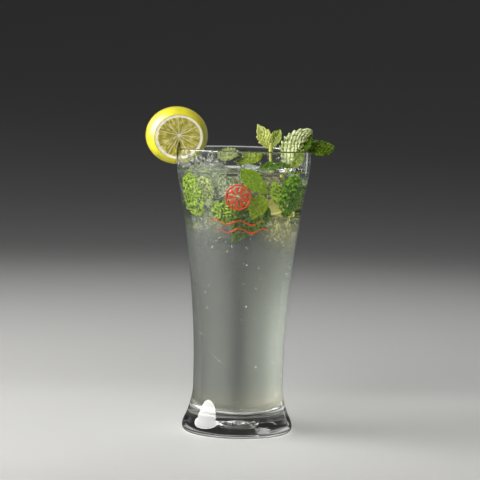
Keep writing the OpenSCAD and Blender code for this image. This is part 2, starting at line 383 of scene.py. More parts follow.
# Finishes of the leaves: blade, painted shade of the valleys along the veins, midrib, light that comes
# through, then how the shaders are mixed.
WET = dict(share=0.4, gloss=0.6, shine=0.03)
MINT_FINISHES = {
    "mint_young": ((0.90, 0.96, 0.36), (0.62, 0.74, 0.10), (0.95, 0.98, 0.5), (1.0, 1.0, 0.2),
                   dict(depth=0.3)),
    "mint_young_inner": ((0.52, 0.62, 0.12), (0.14, 0.22, 0.012), (0.9, 0.94, 0.45), (0.6, 0.74, 0.1),
                         dict(share=0.3)),
    "mint_crown": ((0.86, 0.92, 0.46), (0.04, 0.10, 0.004), (0.35, 0.45, 0.08), (0.74, 0.86, 0.18),
                   dict(share=0.25, depth=0.7)),
    "mint_dark": ((0.11, 0.22, 0.006), (0.02, 0.06, 0.001), (0.2, 0.3, 0.05), (0.26, 0.44, 0.008),
                  dict(share=0.25, shine=0.2)),
    "mint_over": ((0.20, 0.32, 0.012), (0.02, 0.06, 0.001), (0.3, 0.42, 0.06), (0.42, 0.62, 0.01),
                  dict(share=0.3, depth=0.8)),
    "mint_bright": ((0.42, 0.54, 0.008), (0.16, 0.26, 0.002), (0.55, 0.6, 0.1), (0.72, 0.85, 0.02),
                    dict(depth=0.8)),
    "mint_pale": ((0.74, 0.80, 0.38), (0.16, 0.24, 0.03), (0.8, 0.86, 0.46), (0.8, 0.88, 0.25), {}),
    "mint_sunk_green": ((0.42, 0.56, 0.05), (0.03, 0.09, 0.001), (0.3, 0.45, 0.04), (0.60, 0.78, 0.02),
                        dict(WET, depth=1.0)),
    "mint_sunk_deep": ((0.14, 0.27, 0.006), (0.015, 0.05, 0.001), (0.14, 0.26, 0.01), (0.26, 0.46, 0.004),
                       dict(WET, depth=0.9)),
    "mint_sunk_smooth": ((0.25, 0.38, 0.002), (0.12, 0.22, 0.001), (0.30, 0.44, 0.01), (0.48, 0.66, 0.003),
                         WET),
    "mint_sunk_mid": ((0.25, 0.48, 0.008), (0.025, 0.09, 0.001), (0.22, 0.38, 0.01), (0.40, 0.70, 0.006),
                      dict(WET, depth=0.85)),
    "mint_sunk_olive": ((0.26, 0.34, 0.002), (0.10, 0.17, 0.001), (0.30, 0.40, 0.01), (0.42, 0.54, 0.004),
                        WET),
    "mint_sunk_frosty": ((0.62, 0.66, 0.30), (0.12, 0.18, 0.02), (0.6, 0.66, 0.3), (0.6, 0.68, 0.15),
                         dict(WET, depth=1.0)),
}

# Each sunk leaf: name, finish, length, width, fold, bend, crinkle, seed, place of its stalk end, rise, roll
# and what else is its own.
PUFFED = dict(tip=0.6)
SUNK_LEAVES = (
    ("left", "green", 0.027, 0.0185, 8, -12, 2.2, 21, (-0.0300, -0.0160, 0.1625), -80, 142, PUFFED),
    ("frost", "frosty", 0.0185, 0.0115, 14, 8, 2.2, 22, (-0.0235, -0.0200, 0.1608), -74, 112, PUFFED),
    ("centre", "smooth", 0.0205, 0.0100, 20, -14, 0.6, 23, (-0.0015, -0.0285, 0.1650), -40, 82,
     dict(wave=0.8)),
    ("curl", "olive", 0.0170, 0.0115, 10, 30, 0.4, 24, (0.0115, -0.0300, 0.1506), -112, 84, dict(wave=0.5)),
    ("tip", "deep", 0.0295, 0.0180, 10, 10, 2.0, 25, (0.0095, -0.0275, 0.1462), -121, 86,
     dict(tip=1.0, belly=0.75)),
    ("fan", "green", 0.0190, 0.0115, 14, 16, 2.4, 26, (-0.0165, -0.0265, 0.1452), -44, 96, PUFFED),
    ("heart", "deep", 0.020, 0.013, 12, 12, 1.8, 31, (0.0155, -0.0245, 0.1420), -142, 90, {}),
    ("thin", "green", 0.015, 0.0068, 18, 8, 1.0, 27, (0.0172, -0.0235, 0.1590), -80, 76, {}),
    ("right", "mid", 0.0265, 0.0185, 8, -10, 2.2, 28, (0.0292, -0.0165, 0.1625), -100, 50, PUFFED),
    ("back_left", "deep", 0.026, 0.015, 12, 10, 1.8, 29, (-0.013, 0.026, 0.1605), -60, -80, {}),
    ("back_mid", "green", 0.023, 0.014, 12, 10, 1.8, 32, (0.004, 0.029, 0.1560), -86, -88, {}),
    ("back_right", "green", 0.025, 0.015, 12, 12, 1.8, 30, (0.019, 0.022, 0.159), -100, -60, {}),
    ("rear_left", "deep", 0.024, 0.015, 10, -8, 1.2, 41, (-0.0320, 0.0116, 0.1585), -84, -160, {}),
    ("rear_low", "green", 0.021, 0.0135, 10, -8, 1.2, 42, (-0.0233, 0.0233, 0.1500), -98, -135, {}),
    ("rear_tall", "mid", 0.023, 0.015, 10, -8, 1.4, 43, (-0.0150, 0.0300, 0.1620), -72, -112, {}),
    ("rear_smooth", "smooth", 0.020, 0.013, 12, -10, 0.7, 44, (0.0262, 0.0205, 0.1480), -80, -40, {}),
    ("rear_olive", "olive", 0.019, 0.0125, 12, -10, 0.8, 45, (-0.0020, 0.0310, 0.1455), -96, -96, {}),
    ("rear_side", "mid", 0.022, 0.014, 12, -10, 1.6, 46, (0.0335, 0.0060, 0.1500), -88, -10, {}),
    ("inner", "deep", 0.024, 0.014, 10, 14, 1.8, 33, (-0.020, -0.004, 0.1600), -50, 70, {}),
)


# ---------------------------------------------------------------- materials

class Nodes:
    """Short names for adding and joining the nodes of one material."""

    def __init__(self, name):
        self.material = bpy.data.materials.new(name)
        self.material.use_nodes = True
        self.tree = self.material.node_tree
        self.tree.nodes.clear()
        self.out = self.tree.nodes.new("ShaderNodeOutputMaterial")

    def add(self, kind, **values):
        """A node of one kind. A value is set on the socket of that name, or joined to it if it is one."""
        node = self.tree.nodes.new("ShaderNode" + kind)
        for key, value in values.items():
            if key.startswith("set_"):
                setattr(node, key[4:], value)
                continue
            socket = node.inputs[int(key[1:])] if key[0] == "i" and key[1:].isdigit() \
                else node.inputs[key.replace("_", " ")]
            if isinstance(value, bpy.types.NodeSocket):
                self.tree.links.new(value, socket)
            else:
                socket.default_value = value
        return node

    def place(self, scale=None):
        """Coordinates in the object's own frame, scaled along each axis where asked."""
        where = self.add("TexCoord").outputs["Object"]
        return where if scale is None else self.add("Mapping", i0=where, Scale=scale).outputs[0]

    def parts(self, vector):
        """The X, Y and Z of a vector."""
        return self.add("SeparateXYZ", i0=vector).outputs

    def carried(self, key):
        """A value that the mesh carries at its vertices."""
        return self.add("Attribute", set_attribute_name=key).outputs["Fac"]

    def noise(self, vector, scale, detail=3.0, rough=0.55):
        """Smooth noise from 0 to 1."""
        return self.add("TexNoise", Vector=vector, Scale=scale, Detail=detail, Roughness=rough).outputs[0]

    def cells(self, vector, scale):
        """How far a point lies from the middle of its cell."""
        return self.add("TexVoronoi", Vector=vector, Scale=scale).outputs["Distance"]

    def ramp(self, value, stops):
        """A colour for each value, between stops of (place, colour)."""
        node = self.add("ValToRGB", i0=value)
        bar = node.color_ramp.elements
        while len(bar) < len(stops):
            bar.new(0.5)
        for element, (place, colour) in zip(bar, stops):
            element.position = place
            element.color = (*colour[:3], 1)
        return node.outputs[0]

    def math(self, kind, a, b=0.0, clamp=False):
        """One sum on one or two values."""
        return self.add("Math", set_operation=kind, i0=a, i1=b, set_use_clamp=clamp).outputs[0]

    def plus(self, a, b, clamp=False):
        """The sum of two values."""
        return self.math("ADD", a, b, clamp)

    def times(self, a, b, clamp=False):
        """The product of two values."""
        return self.math("MULTIPLY", a, b, clamp)

    def map_range(self, value, low, high, to_low=0.0, to_high=1.0):
        """A value between two limits spread between two others, with soft ends."""
        return self.add("MapRange", set_interpolation_type="SMOOTHSTEP", i0=value, i1=low, i2=high,
                        i3=to_low, i4=to_high).outputs[0]

    def mix_colour(self, share, first, second, kind="MIX"):
        """Two colours mixed."""
        node = self.add("Mix", set_data_type="RGBA", set_blend_type=kind)
        for index, value in ((0, share), (6, first), (7, second)):
            if isinstance(value, bpy.types.NodeSocket):
                self.tree.links.new(value, node.inputs[index])
            elif index == 0:
                node.inputs[0].default_value = value
            else:
                node.inputs[index].default_value = (*value, 1)
        return node.outputs[2]

    def bump(self, height, distance, strength=1.0):
        """A normal bent by a height."""
        return self.add("Bump", Height=height, Distance=distance, Strength=strength).outputs[0]

    def skin(self, colour, rough, **more):
        """The main surface shader, with a plain or a joined colour."""
        if not isinstance(colour, bpy.types.NodeSocket):
            colour = (*colour, 1)
        return self.add("BsdfPrincipled", Base_Color=colour, Roughness=rough, **more).outputs[0]

    def blend(self, share, first, second):
        """Two shaders mixed."""
        return self.add("MixShader", i0=share, i1=first, i2=second).outputs[0]

    def finish(self, shader):
        """Joins the last shader to the output and returns the material."""
        self.tree.links.new(shader, self.out.inputs["Surface"])
        return self.material

    def clear_to_lamps(self, shader, tint):
        """The shader, but a shadow ray passes straight through with a tint."""
        path = self.add("LightPath").outputs["Is Shadow Ray"]
        return self.blend(path, shader, self.add("BsdfTransparent", Color=(*tint, 1)).outputs[0])


def shades(colour, spread):
    """A darker and a lighter shade of a colour."""
    return [c * (1 - spread) for c in colour], [min(1, c * (1 + spread)) for c in colour]


def glass_material():
    """Clear pressed glass with the faintest grey-green body. Above the drink it has a mist of dew, in
    flecks, thick on the lime's side and thin on the other."""
    n = Nodes("clear_glass")
    where = n.place()
    normal = n.bump(n.noise(where, 55.0, 1.0), 0.00025, 0.5)
    skin = n.skin((0.965, 0.98, 0.972), 0.0, IOR=1.5, Normal=normal, Transmission_Weight=1.0,
                  Specular_IOR_Level=0.45)
    across, _, up = n.parts(where)
    band = n.times(n.map_range(up, *DEW_STARTS), n.map_range(up, *DEW_ENDS))
    side = n.math("MAXIMUM", n.map_range(across, -0.008, -0.022),
                  n.map_range(across, 0.027, 0.036, 0.0, 0.5))
    fleck = n.times(n.map_range(n.noise(where, 900.0, 4.0, 0.7), 0.5, 0.66, 0.0, 0.6),
                    n.map_range(n.noise(where, 170.0, 2.0), 0.4, 0.6, 0.15, 1.0))
    mist = n.times(n.times(band, side), fleck)
    dew = n.add("BsdfTranslucent", Color=(0.85, 0.88, 0.84, 1)).outputs[0]
    return n.finish(n.clear_to_lamps(n.blend(mist, skin, dew), (0.96, 0.97, 0.965)))


def liquid_material():
    """Clear skin of the drink, with the index of water and a grey-green body."""
    n = Nodes("drink_liquid")
    skin = n.skin((0.95, 0.97, 0.93), 0.0, IOR=1.33, Transmission_Weight=1.0, Specular_IOR_Level=0.15)
    return n.finish(n.clear_to_lamps(skin, (0.95, 0.96, 0.93)))


def cloud_material(s, name, thin, thick):
    """Lime cloud in the drink: soft light-scattering veils, thick and grey below the cloud's top, warmer
    with lees near the floor. Above it they are thin and patchy, with crushed mint and lime on one side
    and crushed mint and ice on the other."""
    n = Nodes(name)
    where = n.place()
    across, _, up = n.parts(where)
    wisp = n.noise(n.place((1, 1, 0.45)), 85.0, 3.0)
    edge = n.plus(up, n.times(n.math("SUBTRACT", wisp, 0.5), 0.03))
    below = n.map_range(edge, s.cloud_top + s.cloud_blend, s.cloud_top - s.cloud_blend)
    lime_side = n.map_range(across, 0.004, 0.022, 0.0, 0.008)
    greyer = n.map_range(n.plus(edge, lime_side), s.cloud_top + 1.2 * s.cloud_blend, s.cloud_top)
    coarse = n.map_range(n.noise(where, 150.0, 3.0), 0.4, 0.6, 0.3, 1.3)
    fine = n.map_range(n.noise(where, 620.0, 4.0, 0.7), 0.42, 0.6, 0.3, 1.5)
    above = n.times(n.times(coarse, fine), thin, clamp=True)
    veil = n.plus(n.times(below, thick), n.times(n.math("SUBTRACT", 1.0, below), above), clamp=True)
    shade = n.plus(n.times(n.noise(n.place((1, 1, 0.06)), 520.0, 3.0), 0.55),
                   n.times(n.noise(where, 1500.0, 2.0), 0.45))
    dark, light = shades(s.cloud, 0.08)
    tone = n.ramp(shade, [(0.3, dark), (0.7, light)])
    tone = n.mix_colour(n.map_range(up, *LEES, 0.0, 0.8), tone, (0.24, 0.225, 0.19))
    grit = n.noise(where, 420.0, 6.0, 0.75)
    limy = n.ramp(grit, [(0.36, (0.05, 0.08, 0.01)), (0.48, s.murk), (0.60, (0.84, 0.78, 0.47))])
    icy = n.ramp(grit, [(0.36, (0.05, 0.08, 0.03)), (0.48, (0.23, 0.27, 0.14)), (0.61, (0.70, 0.74, 0.52))])
    murk = n.mix_colour(n.map_range(across, -0.004, 0.014), icy, limy)
    tone = n.mix_colour(greyer, murk, tone)
    front = n.add("BsdfDiffuse", Color=tone).outputs[0]
    behind = n.add("BsdfTranslucent", Color=tone).outputs[0]
    body = n.blend(0.5, front, behind)
    return n.finish(n.blend(veil, n.add("BsdfTransparent").outputs[0], body))


def ice_material():
    """Wet ice: clear, with white cracks and frost inside it."""
    n = Nodes("wet_ice")
    where = n.place()
    frost = n.map_range(n.noise(where, 240.0, 5.0, 0.7), 0.5, 0.7, 0.03, 0.6)
    normal = n.bump(n.noise(where, 210.0, 2.0), 0.0012, 0.8)
    skin = n.skin((0.97, 0.98, 0.98), 0.03, IOR=1.14, Normal=normal, Transmission_Weight=1.0)
    white = n.add("BsdfTranslucent", Color=(0.8, 0.84, 0.8, 1)).outputs[0]
    return n.finish(n.clear_to_lamps(n.blend(frost, skin, white), (0.93, 0.94, 0.93)))


def leaf_material(name, lamina, valley_shade, rib, glow, share=0.35, gloss=0.4, shine=0.4, depth=0.6):
    """A mint leaf: a quilted blade with painted shade, a darker colour in the valleys along the veins and in
    fine specks over the puffs, a pale midrib, and light that shows through it."""
    n = Nodes(name)
    where = n.place()
    line = n.carried("vein_valley_shade")
    mottle = n.noise(where, 620.0, 4.0, 0.7)
    patch = n.map_range(n.noise(where, 150.0, 2.0), 0.38, 0.62)
    blade = n.mix_colour(patch, [c * 0.8 for c in lamina], lamina)
    # Painted shade: the valleys along the veins, and fine specks of the puffs as deep as depth, take the
    # darker valley colour, on the blade and in the light that shows through.
    painted_shade = n.plus(n.times(line, 0.7), n.map_range(mottle, 0.47, 0.6, 0, depth), clamp=True)
    colour = n.mix_colour(n.times(n.carried("rib"), 0.7), n.mix_colour(painted_shade, blade, valley_shade), rib)
    height = n.math("SUBTRACT", n.plus(n.times(n.cells(where, 1300.0), 0.5), mottle), line)
    normal = n.bump(height, 0.0003, 0.8)
    skin = n.skin(colour, gloss, Normal=normal, Specular_IOR_Level=shine)
    through = n.add("BsdfTranslucent", Color=n.mix_colour(painted_shade, glow, valley_shade), Normal=normal).outputs[0]
    return n.finish(n.blend(share, skin, through))


def stem_material():
    """Yellow-green stem with fine lengthwise streaks."""
    n = Nodes("mint_stem")
    streak = n.noise(n.place((1, 1, 0.1)), 900.0, 2.0)
    colour = n.ramp(streak, [(0.3, (0.34, 0.38, 0.07)), (0.7, (0.62, 0.62, 0.16))])
    return n.finish(n.skin(colour, 0.4, Subsurface_Weight=0.3, Subsurface_Radius=(0.001, 0.0012, 0.0004)))


def peel_material():
    """Lime peel: waxy yellow-green with small oil pits, greener in broad patches."""
    n = Nodes("lime_peel")
    where = n.place()
    colour = n.ramp(n.noise(where, 60.0, 3.0), [(0.36, (0.56, 0.55, 0.008)), (0.62, (0.88, 0.78, 0.015))])
    normal = n.bump(n.plus(n.cells(where, 950.0), n.noise(where, 700.0, 2.0)), 0.00016, 0.6)
    return n.finish(n.skin(colour, 0.38, Normal=normal, Coat_Weight=0.7, Coat_Roughness=0.36,
                           Subsurface_Weight=0.15, Subsurface_Radius=(0.002, 0.0018, 0.0003)))


def flesh_material(name="lime_flesh", juicy=0.6, membrane=(0.92, 0.88, 0.60), pale=(0.96, 0.88, 0.76),
                   deep=(0.30, 0.29, 0.02)):
    """Cut lime: juice cells in radial strokes, pale membranes, white pith and a green edge line.

    Three values on the mesh say how far out a point is (out, 0 to 1), how near a membrane (wall) and
    how far round (around, 0 to 1)."""
    n = Nodes(name)
    out, wall = n.carried("out"), n.carried("wall")
    cell_at = n.add("CombineXYZ", i0=n.times(n.carried("around"), 44.0), i1=n.times(out, 3.2)).outputs[0]
    cells = n.cells(cell_at, 1.6)
    strokes = n.ramp(cells, [(0.08, (0.92, 0.86, 0.50)), (0.42, (0.62, 0.55, 0.12)), (0.85, deep)])
    where = n.place()
    depth = n.map_range(n.noise(where, 130.0, 3.0), 0.4, 0.62)
    tone = n.mix_colour(1.0, strokes, n.mix_colour(depth, (0.8, 0.78, 0.7), (1.0, 1.0, 1.0)), "MULTIPLY")
    juice = n.mix_colour(n.map_range(wall, 0.4, 0.95, 0, 0.85), tone, membrane)
    ring = n.map_range(n.plus(out, n.times(n.noise(where, 500.0, 2.0), 0.03)), 0.85, 0.9)
    core = n.map_range(out, 0.085, 0.045)
    pith = n.mix_colour(n.math("MAXIMUM", ring, core), juice, pale)
    colour = n.mix_colour(n.map_range(out, 0.955, 0.985), pith, (0.52, 0.52, 0.03))
    wet = n.map_range(out, 0.9, 0.86, 0.5, 0.16)
    normal = n.bump(n.plus(n.times(cells, -0.7), n.times(wall, 0.5)), 0.0005, 0.8)
    return n.finish(n.skin(colour, wet, Normal=normal, Subsurface_Weight=juicy,
                           Subsurface_Radius=(0.003, 0.0028, 0.001)))


def bead_material():
    """Small drops: bright clear beads."""
    n = Nodes("clear_bead")
    skin = n.skin((0.98, 0.99, 0.98), 0.02, IOR=1.33, Transmission_Weight=1.0)
    return n.finish(n.clear_to_lamps(skin, (0.95, 0.96, 0.95)))


def fizz_material(name, dull, pale, gloss):
    """Fizz and lime bits: small specks, from dull to pale."""
    n = Nodes(name)
    return n.finish(n.skin(n.ramp(n.noise(n.place(), 800.0), [(0.35, dull), (0.65, pale)]), gloss))


def ink_material(s):
    """Printed enamel: red-orange, slightly uneven."""
    n = Nodes("printed_ink")
    uneven = n.noise(n.place(), 900.0, 3.0)
    dark, light = shades(s.ink, 0.2)
    return n.finish(n.skin(n.ramp(uneven, [(0.3, dark), (0.7, light)]), 0.35,
                           Normal=n.bump(uneven, 0.00003, 0.5)))


def painted_light_floor_material():
    """Studio floor with a painted pool of light: pale under the glass, with painted shade darker away from it.
    """
    n = Nodes("studio_floor_painted_light")
    across, deep, _ = n.parts(n.place())
    away = n.math("SQRT", n.plus(n.math("POWER", across, 2.0), n.math("POWER", deep, 2.0)))
    # Painted pool of light: the tone falls from pale under the glass to dark far from it, as painted shade.
    tone = n.ramp(n.map_range(away, 0.35, 1.9), [(0.0, (0.44, 0.44, 0.435)), (0.6, (0.14, 0.14, 0.14)),
                                                 (1.0, (0.06, 0.06, 0.06))])
    return n.finish(n.skin(tone, 0.7))


# ---------------------------------------------------------------- mint leaves

def leaf_grid(length, width, fold, bend, crinkle, seed, belly=0.8, teeth=9, tip=0.85, wave=1.0, jag=0.26,
              cross_veins=0.6, stray_by=0.12, side_veins=7.5, lean=0.32, dark=0.2, rows=110, cols=44):
    """A mint leaf on a grid: u runs from stalk to tip, v from edge to edge.

    Half width is a power of sin(pi u^belly), with teeth that lean to the tip. Height is a fold at the
    midrib, plus quilted swellings between the side veins, which lean to the tip, and their cross veins,
    plus slow waves that grow to the edge; then the blade is bent along a circle. Also gives, at each
    point, how near a valley along a vein lies, as the mask of painted shade in those valleys, with dark
    for the width of a side vein's line, and how near the midrib."""
    u = np.linspace(0, 1, rows)[:, None]
    v = np.linspace(-1, 1, cols)[None, :]
    place = np.stack(np.broadcast_arrays(u * 3.0, v * 1.5, 0 * u * v), -1)
    stray = waves(place, 3.0, seed + 50) * stray_by
    notch = teeth * u - 0.25 * np.abs(v) + 0.1 * np.sign(v)
    saw = notch - np.floor(notch)
    shape = np.sin(np.pi * np.clip(u, 0, 1) ** belly) ** tip
    half = width / 2 * (shape * (1 + jag * (saw - 0.45) * np.abs(v) ** 5) + 0.02)
    y = half * v
    ways = side_veins * (u - lean * np.abs(v) ** 1.1) + 0.3 + stray
    ridge = np.abs(np.sin(np.pi * ways))
    step = 3.6 * np.abs(v) + 0.5 * np.floor(ways) + 0.8 * u + 1.6 * stray
    cross = np.abs(np.sin(np.pi * step))
    quilt = ridge ** 0.7 * (1 - cross_veins + cross_veins * cross ** 0.7)
    inside = np.sqrt(np.clip(np.sin(np.pi * u), 0, 1)) * (1 - 0.35 * np.abs(v) ** 3)
    lift = crinkle * width * 0.1 * (quilt + 0.4 * waves(place, 15.0, seed + 90)) * inside
    groove = -0.03 * width * np.exp(-(v / 0.07) ** 2)
    slow = wave * waves(place, 2.4, seed) * width * 0.07 * np.abs(v)
    up = np.abs(y) * math.tan(math.radians(fold)) + lift + groove + slow
    angle = math.radians(bend) * u
    circle = length / math.radians(bend) if abs(bend) > 0.5 else 0.0
    along = circle * np.sin(angle) if circle else length * u
    rise = circle * (1 - np.cos(angle)) if circle else 0 * u
    points = np.stack(np.broadcast_arrays(along - up * np.sin(angle), y, rise + up * np.cos(angle)), -1)
    # Mask of painted shade: the valleys along the side veins and the cross veins, which the leaf material
    # darkens.
    side = np.exp(-(ridge / dark) ** 2) * (1 - np.abs(v) ** 4)
    net = cross_veins * np.exp(-(cross / 0.2) ** 2)
    rib = np.exp(-(v / 0.06) ** 2) * np.ones_like(u)
    vein_valley_shade = np.clip(np.maximum(side, net), 0, 1)
    return points, vein_valley_shade, rib * np.ones_like(vein_valley_shade)


def place_leaf(points, at, rise, roll, yaw=0.0):
    """Turns a leaf as the frame's leaves are: rolled about itself, raised, turned, then moved."""
    matrix = turn_matrix(z=yaw) @ turn_matrix(y=-rise) @ turn_matrix(x=roll)
    return points @ matrix.T + np.asarray(at, float)


def press_inside(points, glass, gap=0.0007):
    """Moves points that lie beyond the inside of the wall straight in, so a leaf lies flat on the wall."""
    reach = np.hypot(points[..., 0], points[..., 1])
    share = np.minimum(1.0, (inner_radius(points[..., 2], glass) - gap) / np.maximum(reach, 1e-6))
    return points * np.stack([share, share, np.ones_like(share)], -1)


def mint_finish(name):
    """The material of one of the leaves' finishes."""
    *colours, mixed = MINT_FINISHES[name]
    return leaf_material(name, *colours, **mixed)


def leaf_piece(name, material, thickness, at, rise, roll, yaw=0.0, nodes=(), stems=(), stem=None, glass=None,
               **leaf):
    """A leaf thickened by a Solidify, with its stems as closed tubes in a second piece. A leaf that is
    given the glass is pressed against its wall."""
    points, vein_valley_shade, rib = leaf_grid(**leaf)
    points = place_leaf(points, at, rise, roll, yaw)
    points = press_inside(points, glass) if glass else points
    mesh = bare_mesh(name, points, grid_faces(*vein_valley_shade.shape), {"vein_valley_shade": vein_valley_shade, "rib": rib})
    piece = add_piece(name, mesh, [material], nodes)
    wall = piece.modifiers.new("Blade", "SOLIDIFY")
    wall.thickness = thickness
    wall.offset = 0.0
    if stems:
        points, quads = join_grids([tube(*one) for one in stems])
        add_piece(name + "_stem", make_mesh(name + "_stem", points, quads), [stem])


# ---------------------------------------------------------------- lime pieces

def lime_point(s, out, along, turn_from_down, core_up):
    """A point inside a cut lime, in the fruit's frame.

    out runs from the core line (0) to the peel (1), along is the height on the fruit's axis, and the
    angle starts straight down. The peel's radius is an ellipse of that height, and the core line
    stands a little above the middle."""
    axial = s.radius * 1.04
    peel = s.radius * np.sqrt(np.clip(1 - (along / axial) ** 2, 0, 1))
    x = out * peel * np.sin(turn_from_down)
    z = core_up + out * (-peel * np.cos(turn_from_down) - core_up)
    return x, z


def lime_mesh(name, s, place, front, back, start, stop, core_up, seed, cols=200, swell=0.00035):
    """A closed cut of lime: its two cut faces, the peel between them and the two walls of its gap.

    start and stop give the angle of the first and last column for any (out, along)."""
    face_out = np.concatenate([np.linspace(0, 0.87, 30), np.linspace(0.89, 1, 8)])
    depth = np.linspace(front, back, 26)
    column = np.linspace(0, 1, cols)[None, :]
    rng = np.random.default_rng(seed)
    bounds = np.cumsum(rng.uniform(0.7, 1.3, s.sections + 1))
    bounds = (bounds - bounds[0]) / (bounds[-1] - bounds[0])
    points, quads, kinds, base = [], [], [], 0
    values = {"out": [], "wall": [], "around": []}

    def put(out, along, angle, kind, bulge=0.0):
        """Adds one grid of points and its faces."""
        nonlocal base
        out, along, angle = np.broadcast_arrays(out, along, angle)
        x, z = lime_point(s, out, along, angle, core_up)
        share = (angle / (2 * np.pi)) % 1.0
        nearest = np.abs(share[..., None] - bounds).min(-1)
        wall = np.exp(-(nearest * 2 * np.pi * np.maximum(out, 0.02) / 0.022) ** 2)
        relief = bulge * (1 - wall) * np.clip(out / 0.12, 0, 1) * np.clip((0.88 - out) / 0.05, 0, 1)
        points.append(place(x, along + relief, z).reshape(-1, 3))
        quads.append(grid_faces(*out.shape, offset=base))
        kinds.append(np.full(len(quads[-1]), kind))
        for key, array in (("out", out), ("wall", wall), ("around", share)):
            values[key].append(array.ravel())
        base += out.size

    def angles(out, along):
        """Angles of every column between the gap's walls."""
        first, last = start(out, along), stop(out, along)
        return first + (last - first) * column

    rows = face_out[:, None]
    put(rows, front, angles(rows, front), 0, swell)
    put(rows, back, angles(rows, back), 0, -swell)
    put(1.0, depth[:, None], angles(np.ones((len(depth), 1)), depth[:, None]), 1)
    for side in (start, stop):
        put(rows, depth[None, :], side(rows, depth[None, :]) * np.ones((len(rows), len(depth))), 0)
    joined = {key: np.concatenate(parts) for key, parts in values.items()}
    return make_mesh(name, np.concatenate(points), np.concatenate(quads), joined,
                     kinds=np.concatenate(kinds), weld=4e-5)


# ---------------------------------------------------------------- settings shared by the operators

def scene_settings(context):
    """The five groups of settings of the scene."""
    scene = context.scene
    return scene.mojito_glass, scene.mojito_drink, scene.mojito_lime, scene.mojito_mint, scene.mojito_stage


def on_wall(glass, across, height, out=0.0):
    """A flat drawing wrapped on the front of the glass: across is arc length from the front, height is Z."""
    radius = outer_radius(height, glass) + out
    angle = across / outer_radius(height, glass)
    return np.stack([radius * np.sin(angle), -radius * np.cos(angle), height], -1)


# ---------------------------------------------------------------- operators

class MOJITO_OT_glass(Operator):
    """The flared glass with its heavy foot"""

    bl_idname = "mojito.glass"
    bl_label = "Glass"

    def execute(self, context):
        glass = scene_settings(context)[0]
        points, quads = revolve(glass_profile(glass), glass.segments)
        reach = np.hypot(points[..., 0], points[..., 1])
        angle = np.arctan2(points[..., 1], points[..., 0])
        petals = np.clip(np.sin(np.pi * (reach - 0.002) / 0.006), 0, 1) * (reach > 0.002) * (reach < 0.008)
        raised = np.clip(np.cos(9 * angle) * 3, -1, 1)
        points[..., 2] += 0.0004 * petals * raised * (points[..., 2] < 0.003)
        mesh = make_mesh("glass_body", points, quads)
        add_piece("glass_body", mesh, [glass_material()], ["glass"])
        return {"FINISHED"}


class MOJITO_OT_print(Operator):
    """A plain printed slice of fruit with two waves under it, on the front of the glass"""

    bl_idname = "mojito.print"
    bl_label = "Print"

    def execute(self, context):
        glass = scene_settings(context)[0]
        parts = []
        middle, high, radius = PRINT_ACROSS, PRINT_UP, PRINT_RADIUS

        def wedge(first, last, low, top, soft):
            """A sector between two angles and two radii, drawn in at its corners."""
            a = np.linspace(0, 1, 14)[:, None]
            b = np.linspace(0, 1, 8)[None, :]
            angle = first + (last - first) * (0.5 + (a - 0.5) * (1 - soft * (1 - b)))
            reach = low + (top - low) * b
            across = middle + reach * np.cos(angle)
            up = high + reach * np.sin(angle)
            return across, up

        def add_flat(across, up):
            """Wraps a flat grid on the wall as a thin raised film with closed edges."""
            front = on_wall(glass, across, up, INK_FRONT)
            back = on_wall(glass, across, up, INK_BACK)
            rows, cols = across.shape
            both = np.stack([front, back])
            skin = grid_faces(rows, cols)
            ring = np.concatenate([np.arange(cols), np.arange(1, rows) * cols + cols - 1,
                                   (rows - 1) * cols + np.arange(cols - 2, -1, -1),
                                   np.arange(rows - 2, 0, -1) * cols])
            after = np.roll(ring, -1)
            size = rows * cols
            edge = np.stack([ring, after, after + size, ring + size], 1)
            parts.append((both.reshape(-1, 3), np.concatenate([skin, skin[:, ::-1] + size, edge])))

        for k in range(PRINT_SECTIONS):
            first = 2 * np.pi * k / PRINT_SECTIONS + 0.1
            last = first + 2 * np.pi / PRINT_SECTIONS - 0.2
            add_flat(*wedge(first, last, radius * 0.14, radius * 0.78, 0.35))
        ring = np.linspace(0, 2 * np.pi, 73)[:, None]
        reach = np.linspace(radius * 0.87, radius, 3)[None, :]
        add_flat(middle + reach * np.cos(ring), high + reach * np.sin(ring))
        along = np.linspace(0, 1, 90)[:, None]
        for low, left, right, phase in PRINT_WAVES:
            thick = 0.00105 * np.sin(np.pi * along) ** 0.35 * (0.75 + 0.25 * np.sin(19 * along + phase))
            line = low + 0.0013 * np.sin(4.5 * np.pi * along + phase)
            across = left + (right - left) * along
            shift = np.linspace(-0.5, 0.5, 4)[None, :]
            add_flat(across + 0 * shift, line + thick * shift)
        points, quads = join_grids(parts)
        mesh = make_mesh("printed_slice", points, quads, weld=1e-7)
        add_piece("printed_slice", mesh, [ink_material(glass)])
        return {"FINISHED"}


class MOJITO_OT_drink(Operator):
    """The drink, which reaches just into the wall, with a small rise where it meets the glass"""

    bl_idname = "mojito.drink"
    bl_label = "Drink"

    def execute(self, context):
        glass, drink = scene_settings(context)[:2]
        wall = cavity_profile(glass, drink.level + EDGE_RISE, INTO_WALL, 110)
        reach = np.linspace(0, 1, 24)[:-1]
        edge = wall[0, 0]
        radius = edge * reach
        rise = EDGE_RISE * np.exp(-(edge - radius) / EDGE_REACH)
        top = np.stack([radius, drink.level + rise], 1)
        points, quads = revolve(np.concatenate([top, wall]), glass.segments)
        mesh = make_mesh("drink_body", points, quads)
        add_piece("drink_body", mesh, [liquid_material()], ["drink"])
        return {"FINISHED"}


